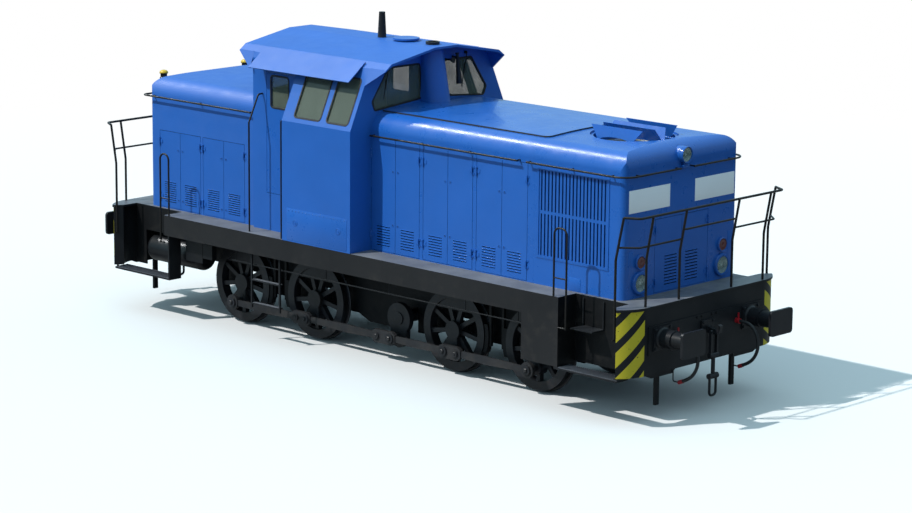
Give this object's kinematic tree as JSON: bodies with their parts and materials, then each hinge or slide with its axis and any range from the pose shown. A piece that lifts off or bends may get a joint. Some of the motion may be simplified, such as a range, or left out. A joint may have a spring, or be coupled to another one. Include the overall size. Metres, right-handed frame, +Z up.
{
  "type": "diesel shunting locomotive",
  "caption": "Diesel shunting locomotive with side rods, a long and a short hood, a high cab between them, corner steps, end platforms with railings, and opening hood and cab doors.",
  "frame": {"origin": "on the rail centre line at the lowest point of the wheel flanges, midway between the buffer faces", "axes": "+X along the locomotive towards the long hood end, +Y to the right seen from in front of the long hood end, +Z up; parts called left are on the -Y side"},
  "size_m": [10.88, 3.1, 4.5349],
  "materials": {
    "body_blue": "satin blue paint",
    "chassis_black": "matt black paint",
    "rod_grey": "worn grey paint",
    "frame_charcoal": "matt charcoal paint",
    "running_gear_black": "oily black",
    "tread_grey": "matt grey paint",
    "rail_black": "satin black paint",
    "hose_rubber": "matt rubber",
    "signal_red": "satin red paint",
    "cab_window": "clear tinted glass",
    "cab_interior": "matt grey paint",
    "engine_grey": "painted casting",
    "lamp_body": "satin blue paint",
    "roof_black": "satin black paint"
  },
  "bodies": {
    "locomotive": {"air_reservoirs": "running_gear_black", "brake_gear": "chassis_black", "brake_hose_left": "hose_rubber", "brake_hose_right": "hose_rubber", "brake_pipe_fittings": "signal_red", "buffers": "running_gear_black", "cab_floor": "cab_interior", "cab_front_wall": "body_blue", "cab_furniture": "cab_interior", "cab_glass": "cab_window", "cab_rear_wall": "body_blue", "cab_roof": "body_blue", "cab_side_left": "body_blue", "cab_side_right": "body_blue", "deck": "frame_charcoal", "engine": "engine_grey", "fan_shroud": "body_blue", "frame_members": "chassis_black", "handrails": "rail_black", "headstocks": "frame_charcoal", "hood_lid": "body_blue", "lamps": "lamp_body", "long_hood": "body_blue", "main_frame": "chassis_black", "roof_fittings": "roof_black", "screw_couplings": "running_gear_black", "short_hood": "body_blue", "side_grilles": "body_blue", "steps": "tread_grey"},
    "cab_door_left": {"cab_door_left": "body_blue"},
    "cab_door_right": {"cab_door_right": "body_blue"},
    "jackshaft": {"jackshaft": "chassis_black"},
    "long_door_left_1": {"long_door_left_1": "body_blue"},
    "long_door_left_2": {"long_door_left_2": "body_blue"},
    "long_door_left_3": {"long_door_left_3": "body_blue"},
    "long_door_left_4": {"long_door_left_4": "body_blue"},
    "long_door_left_5": {"long_door_left_5": "body_blue"},
    "long_door_left_6": {"long_door_left_6": "body_blue"},
    "long_door_right_1": {"long_door_right_1": "body_blue"},
    "long_door_right_2": {"long_door_right_2": "body_blue"},
    "long_door_right_3": {"long_door_right_3": "body_blue"},
    "long_door_right_4": {"long_door_right_4": "body_blue"},
    "long_door_right_5": {"long_door_right_5": "body_blue"},
    "long_door_right_6": {"long_door_right_6": "body_blue"},
    "nose_door_left": {"nose_door_left": "body_blue"},
    "nose_door_right": {"nose_door_right": "body_blue"},
    "short_door_left_1": {"short_door_left_1": "body_blue"},
    "short_door_left_2": {"short_door_left_2": "body_blue"},
    "short_door_left_3": {"short_door_left_3": "body_blue"},
    "short_door_left_4": {"short_door_left_4": "body_blue"},
    "short_door_right_1": {"short_door_right_1": "body_blue"},
    "short_door_right_2": {"short_door_right_2": "body_blue"},
    "short_door_right_3": {"short_door_right_3": "body_blue"},
    "short_door_right_4": {"short_door_right_4": "body_blue"},
    "side_rods_left": {"side_rods_left": "rod_grey"},
    "side_rods_right": {"side_rods_right": "rod_grey"},
    "wheelset_1": {"wheelset_1": "chassis_black"},
    "wheelset_2": {"wheelset_2": "chassis_black"},
    "wheelset_3": {"wheelset_3": "chassis_black"},
    "wheelset_4": {"wheelset_4": "chassis_black"}
  },
  "joints": [
    {"name": "wheelset_2_turn", "type": "hinge", "parent": "locomotive", "child": "wheelset_2", "pos_m": [-1.315, 0, 0.58], "axis": [0, 1, 0], "continuous": true},
    {"name": "wheelset_1_turn", "type": "hinge", "parent": "locomotive", "child": "wheelset_1", "pos_m": [-2.8, 0, 0.58], "axis": [0, 1, 0], "continuous": true},
    {"name": "wheelset_3_turn", "type": "hinge", "parent": "locomotive", "child": "wheelset_3", "pos_m": [1.316, 0, 0.58], "axis": [0, 1, 0], "continuous": true},
    {"name": "wheelset_4_turn", "type": "hinge", "parent": "locomotive", "child": "wheelset_4", "pos_m": [2.801, 0, 0.58], "axis": [0, 1, 0], "continuous": true},
    {"name": "jackshaft_turn", "type": "hinge", "parent": "locomotive", "child": "jackshaft", "pos_m": [0.324, 0, 0.58], "axis": [0, 1, 0], "continuous": true},
    {"name": "side_rods_left_swing", "type": "hinge", "parent": "wheelset_2", "child": "side_rods_left", "pos_m": [-1.315, -0.985, 0.33], "axis": [0, 1, 0], "continuous": true},
    {"name": "side_rods_right_swing", "type": "hinge", "parent": "wheelset_2", "child": "side_rods_right", "pos_m": [-1.065, 0.985, 0.58], "axis": [0, 1, 0], "continuous": true},
    {"name": "long_door_left_1_hinge", "type": "hinge", "parent": "locomotive", "child": "long_door_left_1", "pos_m": [0.084, -1.132, 2.29], "axis": [0, 0, -1], "range_deg": [0, 90]},
    {"name": "long_door_left_2_hinge", "type": "hinge", "parent": "locomotive", "child": "long_door_left_2", "pos_m": [0.96, -1.132, 2.29], "axis": [0, 0, 1], "range_deg": [0, 90]},
    {"name": "long_door_left_3_hinge", "type": "hinge", "parent": "locomotive", "child": "long_door_left_3", "pos_m": [1.039, -1.132, 2.29], "axis": [0, 0, -1], "range_deg": [0, 90]},
    {"name": "long_door_left_4_hinge", "type": "hinge", "parent": "locomotive", "child": "long_door_left_4", "pos_m": [1.915, -1.132, 2.29], "axis": [0, 0, 1], "range_deg": [0, 90]},
    {"name": "long_door_left_5_hinge", "type": "hinge", "parent": "locomotive", "child": "long_door_left_5", "pos_m": [1.994, -1.132, 2.29], "axis": [0, 0, -1], "range_deg": [0, 90]},
    {"name": "long_door_left_6_hinge", "type": "hinge", "parent": "locomotive", "child": "long_door_left_6", "pos_m": [2.87, -1.132, 2.29], "axis": [0, 0, 1], "range_deg": [0, 90]},
    {"name": "short_door_left_1_hinge", "type": "hinge", "parent": "locomotive", "child": "short_door_left_1", "pos_m": [-4.177, -1.132, 2.08], "axis": [0, 0, -1], "range_deg": [0, 90]},
    {"name": "short_door_left_2_hinge", "type": "hinge", "parent": "locomotive", "child": "short_door_left_2", "pos_m": [-3.329, -1.132, 2.08], "axis": [0, 0, 1], "range_deg": [0, 90]},
    {"name": "short_door_left_3_hinge", "type": "hinge", "parent": "locomotive", "child": "short_door_left_3", "pos_m": [-3.267, -1.132, 2.08], "axis": [0, 0, -1], "range_deg": [0, 90]},
    {"name": "short_door_left_4_hinge", "type": "hinge", "parent": "locomotive", "child": "short_door_left_4", "pos_m": [-2.419, -1.132, 2.08], "axis": [0, 0, 1], "range_deg": [0, 90]},
    {"name": "nose_door_left_hinge", "type": "hinge", "parent": "locomotive", "child": "nose_door_left", "pos_m": [4.5, -0.516, 2], "axis": [0, 0, -1], "range_deg": [0, 48]},
    {"name": "cab_door_left_hinge", "type": "hinge", "parent": "locomotive", "child": "cab_door_left", "pos_m": [-1.889, -1.126, 2.88], "axis": [0, 0, 1], "range_deg": [0, 85]},
    {"name": "long_door_right_1_hinge", "type": "hinge", "parent": "locomotive", "child": "long_door_right_1", "pos_m": [0.084, 1.132, 2.29], "axis": [0, 0, 1], "range_deg": [0, 90]},
    {"name": "long_door_right_2_hinge", "type": "hinge", "parent": "locomotive", "child": "long_door_right_2", "pos_m": [0.96, 1.132, 2.29], "axis": [0, 0, -1], "range_deg": [0, 90]},
    {"name": "long_door_right_3_hinge", "type": "hinge", "parent": "locomotive", "child": "long_door_right_3", "pos_m": [1.039, 1.132, 2.29], "axis": [0, 0, 1], "range_deg": [0, 90]},
    {"name": "long_door_right_4_hinge", "type": "hinge", "parent": "locomotive", "child": "long_door_right_4", "pos_m": [1.915, 1.132, 2.29], "axis": [0, 0, -1], "range_deg": [0, 90]},
    {"name": "long_door_right_5_hinge", "type": "hinge", "parent": "locomotive", "child": "long_door_right_5", "pos_m": [1.994, 1.132, 2.29], "axis": [0, 0, 1], "range_deg": [0, 90]},
    {"name": "long_door_right_6_hinge", "type": "hinge", "parent": "locomotive", "child": "long_door_right_6", "pos_m": [2.87, 1.132, 2.29], "axis": [0, 0, -1], "range_deg": [0, 90]},
    {"name": "short_door_right_1_hinge", "type": "hinge", "parent": "locomotive", "child": "short_door_right_1", "pos_m": [-4.177, 1.132, 2.08], "axis": [0, 0, 1], "range_deg": [0, 90]},
    {"name": "short_door_right_2_hinge", "type": "hinge", "parent": "locomotive", "child": "short_door_right_2", "pos_m": [-3.329, 1.132, 2.08], "axis": [0, 0, -1], "range_deg": [0, 90]},
    {"name": "short_door_right_3_hinge", "type": "hinge", "parent": "locomotive", "child": "short_door_right_3", "pos_m": [-3.267, 1.132, 2.08], "axis": [0, 0, 1], "range_deg": [0, 90]},
    {"name": "short_door_right_4_hinge", "type": "hinge", "parent": "locomotive", "child": "short_door_right_4", "pos_m": [-2.419, 1.132, 2.08], "axis": [0, 0, -1], "range_deg": [0, 90]},
    {"name": "nose_door_right_hinge", "type": "hinge", "parent": "locomotive", "child": "nose_door_right", "pos_m": [4.5, 0.516, 2], "axis": [0, 0, 1], "range_deg": [0, 48]},
    {"name": "cab_door_right_hinge", "type": "hinge", "parent": "locomotive", "child": "cab_door_right", "pos_m": [-1.889, 1.126, 2.88], "axis": [0, 0, -1], "range_deg": [0, 85]}
  ],
  "couplings": [
    {"joint": "wheelset_1_turn", "follows": "wheelset_2_turn", "ratio": 1},
    {"joint": "wheelset_3_turn", "follows": "wheelset_2_turn", "ratio": 1},
    {"joint": "wheelset_4_turn", "follows": "wheelset_2_turn", "ratio": 1},
    {"joint": "jackshaft_turn", "follows": "wheelset_2_turn", "ratio": 1},
    {"joint": "side_rods_left_swing", "follows": "wheelset_2_turn", "ratio": -1},
    {"joint": "side_rods_right_swing", "follows": "wheelset_2_turn", "ratio": -1}
  ]
}
